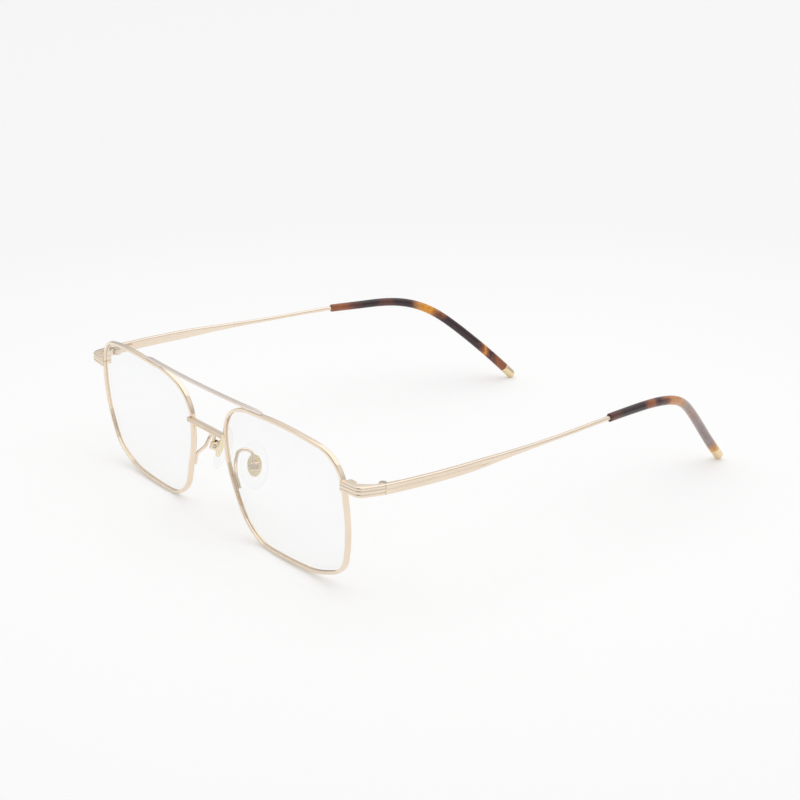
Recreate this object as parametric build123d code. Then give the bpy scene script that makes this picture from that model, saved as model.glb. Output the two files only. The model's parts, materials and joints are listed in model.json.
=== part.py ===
from build123d import *
import math
import os

# Double bridge metal spectacles: two eyewires, a straight brow bar over a reeded lower bridge,
# reeded endpieces, screw hinges, slim wire temples with acetate tips, and screw-on nose pads.
# Millimetres. X runs across the face and is positive on the wearer's left. Y runs back towards
# the ears. Z is up. The frame stands open on its eyewires and temple tips.
# Every left piece is modelled, and its right twin is its mirror image.

# Eyewires and lenses
eye_width = 50.6
eye_height = 37.2
nose_gap = 16.4
rim_width = 0.9
rim_depth = 1.3
rim_edge_radius = 0.2
groove_depth = 0.3
groove_width = 0.5
lens_gap = 0.03
lens_thickness = 1.7
lens_curve_radius = 126.0
lens_curve_centre_shares = (0.53, 0.53)
wrap_angle = 2.44
front_tilt = 4.96
# Corners of the eyewire's centreline as shares of the eye's width and height, each with how far
# its bend reaches along its shorter side. The first is the lower corner at the nose.
rim_corner_shares = [
    (0.154, -0.006, 0.447),
    (0.724, 0.015, 0.338),
    (0.937, 0.111, 0.373),
    (1.008, 0.428, 0.539),
    (0.982, 0.919, 0.417),
    (0.611, 1.013, 0.526),
    (0.210, 0.977, 0.334),
    (-0.004, 0.848, 0.596),
    (0.004, 0.498, 0.395),
]

# Brow bar and lower bridge
brow_bar_length = 56.4
brow_bar_height = 0.85
brow_bar_bow = 1.0
brow_bar_depth = 1.1
brow_bar_radius = 0.25
brow_bar_seat = 0.35
brow_bar_taper_length = 3.2
brow_bar_taper_drop = 0.5
bridge_height = 1.2
bridge_depth = 1.5
bridge_lap = 0.9
bridge_rise_share = 0.69
bridge_ridge_relief = 0.16
bridge_edge_round = 0.3
solder_gap = 0.02

# Endpieces and rim locks
endpiece_rise_share = 0.75
endpiece_height = 2.65
endpiece_lap = 0.75
endpiece_slant = 0.6
endpiece_reach = 6.6
endpiece_flare = 1.8
endpiece_corner_radius = 2.5
endpiece_ridge_relief = 0.12
endpiece_edge_round = 0.35
joint_setback = 7.2
arm_thickness = 1.35
ridge_count = 3
lock_width = 2.4
lock_depth = 2.0
lock_height = 2.0
lock_slit = 0.1
lock_screw_radius = 0.45
lock_thread_share = 0.65
lock_head_radius = 0.8
lock_head_height = 0.35

# Hinges
joint_gap = 0.06
barrel_radius = 1.1
barrel_height = 0.48
barrel_gap = 0.04
hinge_side_gap = 0.08
hinge_setback = 1.0
front_leaf_length = 3.6
temple_leaf_length = 4.9
hinge_leaf_thickness = 0.85
hinge_screw_radius = 0.6
hinge_bore_gap = 0.04
screw_head_radius = 0.95
screw_head_height = 0.22
slot_width = 0.25
slot_depth = 0.15

# Temples
temple_reach = 132.7
temple_inset = 20.0
temple_drop = 27.0
blade_height = 2.65
blade_thickness = 1.3
wire_diameter = 1.16
blade_groove_depth = 0.16
blade_groove_width = 0.5
# Places on the temple's centreline: along its reach, in from the hinge, and down from it.
temple_path_shares = [
    (0.000, 0.000, 0.000),
    (0.080, -0.047, -0.004),
    (0.163, -0.057, -0.008),
    (0.262, -0.020, -0.016),
    (0.442, 0.095, -0.026),
    (0.554, 0.184, -0.036),
    (0.628, 0.262, -0.030),
    (0.707, 0.335, -0.013),
    (0.763, 0.416, 0.042),
    (0.811, 0.532, 0.149),
    (0.858, 0.666, 0.325),
    (0.908, 0.806, 0.551),
    (0.955, 0.925, 0.777),
    (1.000, 1.000, 1.000),
]
# The blade's height along the reach, from its full height to the bare wire.
blade_end_share = 0.40
blade_taper_shares = [
    (0.00, 1.000),
    (0.08, 1.000),
    (0.16, 0.990),
    (0.20, 0.935),
    (0.23, 0.835),
    (0.26, 0.710),
    (0.30, 0.580),
    (0.34, 0.495),
    (0.40, 0.438),
]
# Corner radius of the section as a share of its smaller side: the blade's, then the wire's.
blade_corner_share = 0.30
wire_corner_share = 0.47
wire_steps = 16
groove_fade_shares = [
    (0.000, 1.0),
    (0.080, 1.0),
    (0.160, 0.8),
    (0.215, 0.35),
    (0.250, 0.0),
]

# Temple tips and end caps
tip_start_share = 0.555
tip_front_height = 2.3
tip_front_width = 2.0
tip_rear_diameter = 2.8
tip_chamfer = 0.45
tip_bore_gap = 0.05
core_end_share = 0.95
tip_steps = 11
cap_start_share = 0.982
cap_length = 1.5
cap_steps = 2

# Nose pads and their arms
pad_rise_share = 0.439
pad_side = 9.4
pad_back = 8.6
pad_splay = 31.0
pad_lean = 15.0
pad_height = 12.6
pad_width = 7.2
pad_thickness = 2.2
pad_edge_radius = 0.5
pad_dome_radius = 14.0
button_height = 5.9
button_width = 3.8
button_thickness = 0.45
button_inlay = 0.2
core_width = 1.3
core_height = 1.6
core_depth = 1.4
box_wall = 0.35
box_side_gap = 0.05
box_height = 2.2
pad_screw_radius = 0.35
pad_screw_gap = 0.03
pad_head_radius = 0.6
pad_head_height = 0.3
pad_rock_gap = 0.3
arm_wire_diameter = 0.9
arm_foot_rise_shares = (0.315, 0.405)
# The arm leaves the eyewire's back, bends over a crown beside the nose and drops to the pad box.
arm_spread = 2.9
arm_rise = 3.2
arm_crown_rise = 3.1
arm_waist_shares = (0.8, 0.26, 0.0)
arm_back_share = 0.52
arm_foot_radius = 3.0
arm_crown_radius = 1.7
arm_side_shift = 0.4

# One overrun serves all cuts
overrun = 6.0


def eye_frame():
    """Tilt and wrap of one lens about the middle of the front."""
    return Rot(front_tilt, 0, 0) * Rot(0, 0, wrap_angle)


def lens_curve_centre():
    """Centre of the lens curve's sphere, in the lens's own frame."""
    across = nose_gap / 2 + lens_curve_centre_shares[0] * eye_width
    up = rim_width / 2 + lens_curve_centre_shares[1] * eye_height
    return Vector(across, lens_curve_radius, up)


def eye_point(across, up, behind=0):
    """A point in the assembly on the lens curve, or behind it by a distance."""
    centre = lens_curve_centre()
    offset_square = (across - centre.X) ** 2 + (up - centre.Z) ** 2
    sag = lens_curve_radius - math.sqrt(lens_curve_radius**2 - offset_square)
    return (eye_frame() * Pos(across, sag + behind, up)).position


def rim_corner(index):
    """A corner of the eyewire's centreline, before it is rounded."""
    across_share, up_share, _ = rim_corner_shares[index % len(rim_corner_shares)]
    return Vector(nose_gap / 2 + across_share * eye_width, rim_width / 2 + up_share * eye_height)


def corner_sides(index):
    """The sides that run from a corner to the ones before and after it."""
    here = rim_corner(index)
    return rim_corner(index - 1) - here, rim_corner(index + 1) - here


def half_angle(before, after):
    """Half of the angle between two sides, in radians."""
    return math.acos(before.normalized().dot(after.normalized())) / 2


def grown_corner(index, spread):
    """The corner moved out so that both of its sides shift by the spread."""
    before, after = corner_sides(index)
    inward = (before.normalized() + after.normalized()).normalized()
    return rim_corner(index) - inward * (spread / math.sin(half_angle(before, after)))


def bend_radius(index):
    """Radius of the bend at a corner of the centreline."""
    before, after = corner_sides(index)
    bend_reach = rim_corner_shares[index][2] * min(before.length, after.length)
    return bend_reach * math.tan(half_angle(before, after))


def rim_outline(spread):
    """The eyewire's centreline grown by a spread, as a closed face of arcs and lines."""
    corners = []
    radii = []
    for index in range(len(rim_corner_shares)):
        corners.append(grown_corner(index, spread))
        radii.append(bend_radius(index) + spread)
    wire = FilletPolyline(*corners, radius=radii, close=True)
    return make_face(wire)


def eye_prism(spread):
    """The grown outline as a deep prism through the front."""
    upright = Plane.XZ * rim_outline(spread)
    return extrude(upright, amount=overrun, both=True)


def curved_shell(front, back):
    """The space between two spheres about the lens curve's centre."""
    centre = lens_curve_centre()
    outer = Sphere(lens_curve_radius - front)
    inner = Sphere(lens_curve_radius - back)
    return Pos(centre.X, centre.Y, centre.Z) * (outer - inner)


def make_rim():
    """Eyewire with a groove for the lens and a slit at the rim lock."""
    half_depth = rim_depth / 2
    ring = eye_prism(rim_width / 2) - eye_prism(-rim_width / 2)
    rim = ring & curved_shell(-half_depth, half_depth)
    edges = rim.edges().filter_by(lambda edge: edge.length > rim_width * 2)
    rim = fillet(edges, rim_edge_radius)
    groove = eye_prism(groove_depth - rim_width / 2) & curved_shell(-groove_width / 2, groove_width / 2)
    rim = rim - groove
    slit = Pos(nose_gap / 2 + eye_width, 0, endpiece_centre_height()) * Box(overrun, overrun * 2, lock_slit)
    return eye_frame() * rim - slit


def make_lens():
    """Clear lens with a tongue round its edge that sits in the eyewire's groove."""
    half = lens_thickness / 2
    body = eye_prism(-rim_width / 2 - lens_gap) & curved_shell(-half, half)
    tongue_half = groove_width / 2 - lens_gap
    tongue = eye_prism(groove_depth - rim_width / 2 - lens_gap) & curved_shell(-tongue_half, tongue_half)
    return eye_frame() * (body + tongue)


def rim_blank():
    """The eyewire's outside, used to shape what is soldered on to it."""
    half_depth = rim_depth / 2 + solder_gap
    blank = eye_prism(rim_width / 2 + solder_gap) & curved_shell(-half_depth, half_depth)
    return eye_frame() * blank


def both_sides(piece):
    """A piece and its mirror image."""
    return piece, mirror(piece, about=Plane.YZ)


def make_brow_bar():
    """Straight bar soldered on top of both eyewires."""
    rim_top = eye_point(brow_bar_length / 2, rim_width / 2 + eye_height)
    bottom = rim_top.Z + rim_width / 2 - brow_bar_seat
    height = bottom + brow_bar_height / 2
    half = brow_bar_length / 2
    path = ThreePointArc((-half, rim_top.Y, height), (0, rim_top.Y - brow_bar_bow, height), (half, rim_top.Y, height))
    start = Plane(origin=path @ 0, x_dir=(0, 0, 1), z_dir=path % 0)
    bar = sweep(start * RectangleRounded(brow_bar_height, brow_bar_depth, brow_bar_radius), path=path)
    slope = math.degrees(math.atan(brow_bar_taper_drop / brow_bar_taper_length))
    over = Box(overrun, overrun, overrun, align=(Align.MIN, Align.CENTER, Align.MIN))
    over = Pos(half - brow_bar_taper_length, rim_top.Y, bottom + brow_bar_height) * Rot(0, slope, 0) * over
    for blank in both_sides(over + rim_blank()):
        bar = bar - blank
    return bar & brow_bar_plan(path)


def brow_bar_plan(path):
    """The bar's plan with its two ends rounded, as a tall prism."""
    radius = brow_bar_depth / 2
    inset = radius / brow_bar_length
    line = path.trim(inset, 1 - inset)
    middle = (line @ 0).Z
    flat = ThreePointArc(*[Vector(point.X, point.Y) for point in (line @ 0, line @ (1 / 2), line @ 1)])
    return Pos(0, 0, middle) * extrude(SlotArc(flat, brow_bar_depth), amount=overrun, both=True)


def reeded_profile(height, depth, relief, edge_round):
    """A bar's section: a flat back, and rounded ridges one above the other on its front."""
    ridge = height / ridge_count
    depths = [depth - edge_round] + [depth - relief] * (ridge_count - 1) + [depth - edge_round]
    outline = [Line((0, height / 2), (depths[0], height / 2))]
    for index in range(ridge_count):
        top = height / 2 - index * ridge
        start = (depths[index], top)
        end = (depths[index + 1], top - ridge)
        outline.append(ThreePointArc(start, (depth, top - ridge / 2), end))
    outline.append(Line((depths[-1], -height / 2), (0, -height / 2)))
    outline.append(Line((0, -height / 2), (0, height / 2)))
    return make_face(outline)


def make_bridge_bar():
    """Reeded lower bridge, lapped over the front of both eyewires."""
    rise = rim_width / 2 + bridge_rise_share * eye_height
    rim_edge = eye_point(nose_gap / 2 + rim_width / 2, rise, -rim_depth / 2)
    front = rim_edge.Y - bridge_lap
    section = Plane(origin=(0, front + bridge_depth, rim_edge.Z), x_dir=(0, -1, 0), z_dir=(-1, 0, 0))
    profile = section * reeded_profile(bridge_height, bridge_depth, bridge_ridge_relief, bridge_edge_round)
    bar = extrude(profile, amount=rim_edge.X, both=True)
    for blank in both_sides(rim_blank()):
        bar = bar - blank
    return bar


def endpiece_centre_height():
    """Height of the endpiece's middle over the table."""
    return eye_point(nose_gap / 2 + eye_width, rim_width / 2 + endpiece_rise_share * eye_height).Z


def endpiece_start():
    """Front corner of the endpiece, over the middle of the eyewire."""
    across = nose_gap / 2 + eye_width - rim_width / 2
    rim_front = eye_point(across, rim_width / 2 + endpiece_rise_share * eye_height, -rim_depth / 2)
    return Vector(rim_front.X, rim_front.Y - endpiece_lap, endpiece_centre_height())


def joint_place():
    """Outer front corner of the temple where it meets the endpiece."""
    start = endpiece_start()
    return Vector(start.X + endpiece_reach + endpiece_flare, start.Y + joint_setback, start.Z)


def make_endpiece():
    """Reeded endpiece: a band bent round the corner, with a solid heel inside the bend."""
    start = endpiece_start()
    joint = joint_place()
    bend = Vector(start.X + endpiece_reach, start.Y + endpiece_slant, start.Z)
    beyond = joint + (joint - bend).normalized() * arm_thickness
    path = FilletPolyline(start, bend, beyond, radius=endpiece_corner_radius)
    across = Plane(origin=start, x_dir=(0, -1, 0), z_dir=path % 0)
    section = reeded_profile(endpiece_height, arm_thickness, endpiece_ridge_relief, endpiece_edge_round)
    profile = across * (Pos(-arm_thickness, 0) * section)
    band = sweep(profile, path=path)
    heel_points = [
        (start.X, start.Y + arm_thickness / 2),
        (start.X, start.Y + arm_thickness),
        (start.X + endpiece_reach / 2, start.Y + arm_thickness + endpiece_slant / 2),
        (start.X + endpiece_reach - arm_thickness, start.Y + joint_setback / 2),
        (joint.X - arm_thickness, joint.Y - arm_thickness),
        (joint.X - arm_thickness / 2, joint.Y - arm_thickness),
        (bend.X - arm_thickness / 2, bend.Y + arm_thickness / 2),
    ]
    heel = extrude(make_face(Polyline(*heel_points, close=True)), amount=endpiece_height / 2, both=True)
    heel = Pos(0, 0, start.Z) * heel
    return band + heel - beyond_joint(-joint_gap / 2) - rim_blank()


def beyond_joint(shift):
    """The space behind the joint's plane, moved back by a shift."""
    joint = joint_place()
    space = Box(overrun, overrun, overrun, align=(Align.CENTER, Align.MIN, Align.CENTER))
    return Pos(joint.X, joint.Y + shift, joint.Z) * space


def before_joint(shift):
    """The space in front of the joint's plane, moved back by a shift."""
    joint = joint_place()
    space = Box(overrun, overrun, overrun, align=(Align.CENTER, Align.MAX, Align.CENTER))
    return Pos(joint.X, joint.Y + shift, joint.Z) * space


def lock_block_place():
    """Middle of the rim lock in plan."""
    start = endpiece_start()
    across = start.X + lock_width / 2
    behind = start.Y + arm_thickness + lock_depth / 2
    return Vector(across, behind, start.Z)


def make_lock_block(side, endpiece):
    """Half of the rim lock behind the endpiece: side is +1 above and -1 below."""
    place = lock_block_place()
    height = lock_block_height()
    block = Box(lock_width, lock_depth, height)
    block = fillet(block.edges().filter_by(Axis.Z), rim_edge_radius)
    block = Pos(place.X, place.Y, place.Z + side * (lock_slit + height) / 2) * block
    screw_place = lock_screw_place()
    bore_end = place.Z + lock_slit / 2 + lock_thread_share * height
    bore_align = (Align.CENTER, Align.CENTER, Align.MAX)
    bore = Cylinder(lock_screw_radius + solder_gap, overrun, align=bore_align)
    return block - Pos(screw_place.X, screw_place.Y, bore_end) * bore - rim_blank() - endpiece


def lock_block_height():
    """Height of each half of the rim lock."""
    return (lock_height - lock_slit) / 2


def lock_screw_place():
    """Axis of the rim lock's screw in plan, clear of the eyewire."""
    place = lock_block_place()
    shift = lock_width / 2 - lock_head_radius
    return Vector(place.X + shift, place.Y, place.Z)


def slotted_screw(shank_radius, shank_length, head_radius, head_height):
    """A screw along Z: the head's underside is at zero and the shank hangs below it."""
    shank = Cylinder(shank_radius, shank_length, align=(Align.CENTER, Align.CENTER, Align.MAX))
    head = Cylinder(head_radius, head_height, align=(Align.CENTER, Align.CENTER, Align.MIN))
    head = chamfer(head.edges().group_by(Axis.Z)[-1], head_height / 4)
    slot = Pos(0, 0, head_height) * Box(head_radius * 2, slot_width, slot_depth * 2)
    return shank + head - slot


def make_lock_screw():
    """Screw that closes the eyewire round the lens, put in from below."""
    place = lock_screw_place()
    height = lock_block_height()
    shank_length = height + lock_slit + lock_thread_share * height - solder_gap
    screw = slotted_screw(lock_screw_radius, shank_length, lock_head_radius, lock_head_height)
    return Pos(place.X, place.Y, place.Z - lock_height / 2) * Rot(180, 0, 0) * screw


def hinge_axis():
    """Point on the hinge's vertical axis at the middle of the knuckles."""
    joint = joint_place()
    across = joint.X - arm_thickness - hinge_side_gap - barrel_radius
    return Vector(across, joint.Y + hinge_setback, joint.Z)


def knuckle_total():
    """Height of the three knuckles and the gaps between them."""
    return 3 * barrel_height + 2 * barrel_gap


def knuckle_blank(far_middle):
    """A hinge leaf with its barrel, before the knuckles are cut, ending inside what it joins."""
    axis = hinge_axis()
    joint = joint_place()
    face = joint.X - arm_thickness / 2
    inner = far_middle.X - arm_thickness / 2 - hinge_leaf_thickness
    leaf_points = [(axis.X, axis.Y), (face, axis.Y), (far_middle.X, far_middle.Y), (inner, far_middle.Y)]
    leaf = make_face(Polyline(*leaf_points, close=True))
    barrel = Pos(axis.X, axis.Y) * Circle(barrel_radius)
    blank = extrude(leaf + barrel, amount=knuckle_total() / 2, both=True)
    bore = Pos(axis.X, axis.Y) * Cylinder(hinge_screw_radius + hinge_bore_gap, overrun)
    return Pos(0, 0, axis.Z) * (blank - bore)


def band_at_height(low, high):
    """A wide slab between two heights, used to cut knuckles."""
    axis = hinge_axis()
    thickness = high - low
    return Pos(axis.X, axis.Y, (low + high) / 2) * Box(overrun * 2, overrun * 2, thickness)


def make_front_knuckle(endpiece):
    """Two outer barrels on a leaf that is soldered inside the endpiece."""
    axis = hinge_axis()
    joint = joint_place()
    leaf_end = axis.Y - barrel_radius - front_leaf_length
    slope = endpiece_flare / (joint_setback - endpiece_slant)
    far_middle = Vector(joint.X - arm_thickness / 2 - slope * (joint.Y - leaf_end), leaf_end)
    half_middle = barrel_height / 2 + barrel_gap
    clear = barrel_radius + barrel_gap + joint_gap
    middle = Pos(axis.X, axis.Y, axis.Z) * Cylinder(clear, half_middle * 2)
    behind = Box(overrun, overrun, half_middle * 2, align=(Align.CENTER, Align.MIN, Align.CENTER))
    behind = Pos(axis.X, joint.Y - joint_gap, axis.Z) * behind
    strip = Box(overrun, overrun, overrun, align=(Align.MIN, Align.MIN, Align.CENTER))
    strip = Pos(joint.X - arm_thickness, joint.Y - joint_gap, axis.Z) * strip
    return knuckle_blank(far_middle) - middle - behind - strip - endpiece


def make_temple_knuckle(temple):
    """One middle barrel on a leaf that is soldered inside the temple."""
    axis = hinge_axis()
    half_middle = barrel_height / 2
    path = temple_path()
    leaf_end = axis.Y + barrel_radius + temple_leaf_length
    along_share = (leaf_end - joint_place().Y) / temple_reach
    blank = knuckle_blank(path.position_at(share_on_path(path, along_share)))
    barrel_zone = Pos(axis.X, axis.Y, 0) * Cylinder(barrel_radius + joint_gap * 2, overrun * 20)
    upper = band_at_height(axis.Z + half_middle, axis.Z + overrun) & barrel_zone
    lower = band_at_height(axis.Z - overrun, axis.Z - half_middle) & barrel_zone
    return blank - upper - lower - temple


def make_hinge_screw():
    """Hinge screw, put in from above."""
    axis = hinge_axis()
    screw = slotted_screw(hinge_screw_radius, knuckle_total(), screw_head_radius, screw_head_height)
    return Pos(axis.X, axis.Y, axis.Z + knuckle_total() / 2 + solder_gap) * screw


def temple_point(along, inward, down):
    """A point of the temple's centreline from three shares."""
    joint = joint_place()
    across = joint.X - arm_thickness / 2 - inward * temple_inset
    return Vector(across, joint.Y + along * temple_reach, joint.Z - down * temple_drop)


def temple_path():
    """The temple's centreline from the joint to the end of the tip."""
    return Spline(*[temple_point(*shares) for shares in temple_path_shares])


def share_on_path(path, along_share):
    """Position along the path where the reach has a given share."""
    joint = joint_place()
    target = joint.Y + along_share * temple_reach
    low = 0.0
    high = 1.0
    for _ in range(40):
        middle = (low + high) / 2
        if path.position_at(middle).Y < target:
            low = middle
        else:
            high = middle
    return (low + high) / 2


def station(path, along_share):
    """A plane square to the temple, its x axis level and pointing outwards."""
    place = share_on_path(path, along_share)
    heading = path.tangent_at(place)
    level = Vector(heading.Y, -heading.X, 0).normalized()
    return Plane(origin=path.position_at(place), x_dir=level, z_dir=-heading)


def steps(first, last, count):
    """Evenly spaced shares of the reach."""
    return [first + (last - first) * index / count for index in range(count + 1)]


def temple_body(path, growth=0):
    """Blade that tapers to a round wire and runs on inside the tip, grown by a clearance."""
    sections = []
    for along_share, height_share in blade_taper_shares:
        height = blade_height * height_share
        blend = along_share / blade_end_share
        thickness = blade_thickness + (wire_diameter - blade_thickness) * blend
        corner = blade_corner_share + (wire_corner_share - blade_corner_share) * blend
        sections.append(station(path, along_share) * rounded_section(thickness, height, corner, growth))
    wire_section = rounded_section(wire_diameter, wire_diameter, wire_corner_share, growth)
    for share in steps(blade_end_share, core_end_share, wire_steps)[1:]:
        sections.append(station(path, share) * wire_section)
    return loft(sections)


def rounded_section(thickness, height, corner_share, growth):
    """A rounded rectangle, its corners a share of its smaller side, grown all round."""
    corner = min(thickness, height) * corner_share + growth
    return RectangleRounded(thickness + 2 * growth, height + 2 * growth, corner)


def make_temple():
    """Temple with its groove, cut square at the joint."""
    path = temple_path()
    return temple_body(path) - before_joint(joint_gap / 2) - temple_groove(path)


def temple_groove(path):
    """Round-bottomed groove along the blade's outer face, fading out at its end."""
    sections = []
    for along_share, depth_share in groove_fade_shares:
        frame = station(path, along_share)
        depth = blade_groove_depth * depth_share
        centre = blade_thickness / 2 + blade_groove_width / 2 - depth
        sections.append(frame * (Pos(centre, 0) * Circle(blade_groove_width / 2)))
    return loft(sections)


def tip_section(path, along_share, shrink=0):
    """The tip's oval section, which grows from its front to a round end."""
    blend = (along_share - tip_start_share) / (1 - tip_start_share)
    width = tip_front_width + (tip_rear_diameter - tip_front_width) * blend
    height = tip_front_height + (tip_rear_diameter - tip_front_height) * blend
    return station(path, along_share) * Ellipse(width / 2 - shrink, height / 2 - shrink)


def make_tip():
    """Acetate tip with a bore in which the temple's core wire seats."""
    path = temple_path()
    front_share = tip_start_share + tip_chamfer / temple_reach
    body = loft([tip_section(path, share) for share in steps(front_share, cap_start_share, tip_steps)])
    chamfer_sections = [tip_section(path, tip_start_share, tip_chamfer), tip_section(path, front_share)]
    nose = loft(chamfer_sections, ruled=True)
    return body + nose - temple_body(path, tip_bore_gap)


def make_end_cap():
    """Metal cap that carries the tip's form on to a domed end."""
    path = temple_path()
    collar = loft([tip_section(path, share) for share in steps(cap_start_share, 1, cap_steps)])
    end = station(path, 1)
    radius = tip_rear_diameter / 2
    dome = Sphere(radius)
    dome = scale(dome, by=(1, 1, cap_length / radius))
    dome = dome & Pos(0, 0, -overrun / 2) * Box(overrun, overrun, overrun)
    return collar + end.location * dome


def pad_frame():
    """Frame of one pad: z points at the nose, y up the pad, the origin on the pad screw."""
    splay = math.radians(pad_splay)
    lean = math.radians(pad_lean)
    toward_nose = Vector(-math.cos(lean) * math.cos(splay), math.sin(splay), -math.sin(lean))
    level = Vector(-toward_nose.Y, toward_nose.X, 0).normalized()
    origin = Vector(pad_side, pad_back, rim_width / 2 + pad_rise_share * eye_height)
    return Plane(origin=origin, x_dir=level, z_dir=toward_nose)


def pad_layer():
    """Depth at which the pad's back lies, from the screw's axis towards the nose."""
    return core_depth / 2 + pad_rock_gap


def make_nose_pad():
    """Clear silicone pad, domed towards the nose, with a pocket for its metal core."""
    back = pad_layer() + button_thickness - button_inlay
    blank = extrude(Ellipse(pad_width / 2, pad_height / 2), amount=pad_thickness)
    blank = fillet(blank.edges().group_by(Axis.Z)[0], pad_edge_radius)
    blank = Pos(0, 0, back) * blank
    dome = Pos(0, 0, back + pad_thickness - pad_dome_radius) * Sphere(pad_dome_radius)
    pocket = Ellipse(button_width / 2 + solder_gap, button_height / 2 + solder_gap)
    pocket = Pos(0, 0, back) * extrude(pocket, amount=button_inlay + solder_gap, both=True)
    return pad_frame().location * ((blank & dome) - pocket)


def make_pad_core():
    """Metal core of the pad: an oval button with a drilled block for the pad screw."""
    button = Pos(0, 0, pad_layer()) * extrude(Ellipse(button_width / 2, button_height / 2), amount=button_thickness)
    button = chamfer(button.edges().group_by(Axis.Z)[0], button_thickness / 4)
    depth = core_depth / 2 + pad_layer() + button_thickness / 2
    block = Box(core_width, core_height, depth, align=(Align.CENTER, Align.CENTER, Align.MIN))
    block = Pos(0, 0, -core_depth / 2) * block
    block = fillet(block.edges().filter_by(Axis.X).group_by(Axis.Z)[0], core_depth / 3)
    bore = Rot(0, 90, 0) * Cylinder(pad_screw_radius + pad_screw_gap, overrun)
    return pad_frame().location * (button + block - bore)


def make_pad_box():
    """U-shaped box that holds the pad's core between its walls."""
    inner = core_width + 2 * box_side_gap
    outer = inner + 2 * box_wall
    floor = core_depth / 2 + pad_rock_gap
    blank = Box(outer, box_height, floor + box_wall + core_depth / 2, align=(Align.CENTER, Align.CENTER, Align.MIN))
    blank = Pos(0, 0, -floor - box_wall) * blank
    blank = fillet(blank.edges().filter_by(Axis.X), box_wall)
    slot = Box(inner, overrun, overrun, align=(Align.CENTER, Align.CENTER, Align.MIN))
    slot = Pos(0, 0, -floor) * slot
    bore = Rot(0, 90, 0) * Cylinder(pad_screw_radius + pad_screw_gap, overrun)
    return pad_frame().location * (blank - slot - bore)


def make_pad_screw():
    """Screw through the box and the pad's core."""
    half = core_width / 2 + box_side_gap + box_wall
    screw = slotted_screw(pad_screw_radius, half * 2, pad_head_radius, pad_head_height)
    return pad_frame().location * (Rot(0, 90, 0) * (Pos(0, 0, half + solder_gap) * screw))


def make_pad_arm():
    """Bent wire from the back of the eyewire, up and over to the top of the pad box."""
    radius = arm_wire_diameter / 2
    frame = pad_frame()
    foot = []
    for rise_share in arm_foot_rise_shares:
        rise = rim_width / 2 + rise_share * eye_height
        foot.append(eye_point(rim_across(rise), rise, rim_depth / 2 + radius + solder_gap))
    floor = core_depth / 2 + pad_rock_gap
    seat = -floor - box_wall + radius
    end = frame.from_local_coords(Vector(arm_side_shift, box_height / 2 + solder_gap, seat))
    crown = frame.from_local_coords(Vector(arm_side_shift, box_height / 2 + arm_crown_rise, seat))
    low, top = foot
    back = top.Y + arm_back_share * (end.Y - top.Y)
    bend = Vector(end.X - arm_spread, back, end.Z + arm_rise)
    out_share, back_share, rise_share = arm_waist_shares
    waist_back = top.Y + back_share * (end.Y - top.Y)
    waist = Vector(end.X - out_share * arm_spread, waist_back, end.Z + rise_share * arm_rise)
    radii = [arm_foot_radius, arm_foot_radius, arm_crown_radius, arm_crown_radius]
    path = FilletPolyline(low, top, waist, bend, crown, end, radius=radii)
    start = Plane(origin=path @ 0, z_dir=path % 0)
    wire = sweep(start * Circle(radius), path=path)
    return wire - rim_blank()


def rim_across(rise):
    """Where the eyewire's nose side lies at a given height, between its two corners there."""
    high = rim_corner_shares[-1]
    low = rim_corner_shares[0]
    share = (rise - rim_width / 2) / eye_height
    blend = (high[1] - share) / (high[1] - low[1])
    across_share = high[0] + blend * (low[0] - high[0])
    return nose_gap / 2 + across_share * eye_width


def build_pieces():
    """All pieces by name, before the whole is set on its origin."""
    endpiece = make_endpiece()
    temple = make_temple()
    sided = {
        "rim": make_rim(),
        "lens": make_lens(),
        "endpiece": endpiece,
        "rim_lock_upper": make_lock_block(1, endpiece),
        "rim_lock_lower": make_lock_block(-1, endpiece),
        "rim_lock_screw": make_lock_screw(),
        "front_hinge_leaf": make_front_knuckle(endpiece),
        "temple_hinge_leaf": make_temple_knuckle(temple),
        "hinge_screw": make_hinge_screw(),
        "temple": temple,
        "temple_tip": make_tip(),
        "tip_end_cap": make_end_cap(),
        "pad_arm": make_pad_arm(),
        "pad_box": make_pad_box(),
        "pad_screw": make_pad_screw(),
        "pad_core": make_pad_core(),
        "nose_pad": make_nose_pad(),
    }
    pieces = {"brow_bar": make_brow_bar(), "bridge_bar": make_bridge_bar()}
    for name, piece in sided.items():
        left, right = both_sides(piece)
        pieces[name + "_left"] = left
        pieces[name + "_right"] = right
    return pieces


def main():
    """Set the origin under the middle of the whole, and write one file for each piece."""
    pieces = build_pieces()
    boxes = [piece.bounding_box() for piece in pieces.values()]
    front = min(box.min.Y for box in boxes)
    back = max(box.max.Y for box in boxes)
    bottom = min(box.min.Z for box in boxes)
    origin = Pos(0, -(front + back) / 2, -bottom)
    os.makedirs("parts", exist_ok=True)
    for name, piece in pieces.items():
        export_step(origin * piece, "parts/" + name + ".step")
    axis = origin * Pos(hinge_axis())
    print("hinge axis", axis.position)
    print("pad frame", (origin * pad_frame().location).position, pad_frame().x_dir)
    print("shift", -(front + back) / 2, -bottom)


main()
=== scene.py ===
"""Double bridge spectacles: fine meshes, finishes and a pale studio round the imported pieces."""

import json
import math

import bmesh
import bpy
import numpy as np
from mathutils import Matrix, Vector


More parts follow.
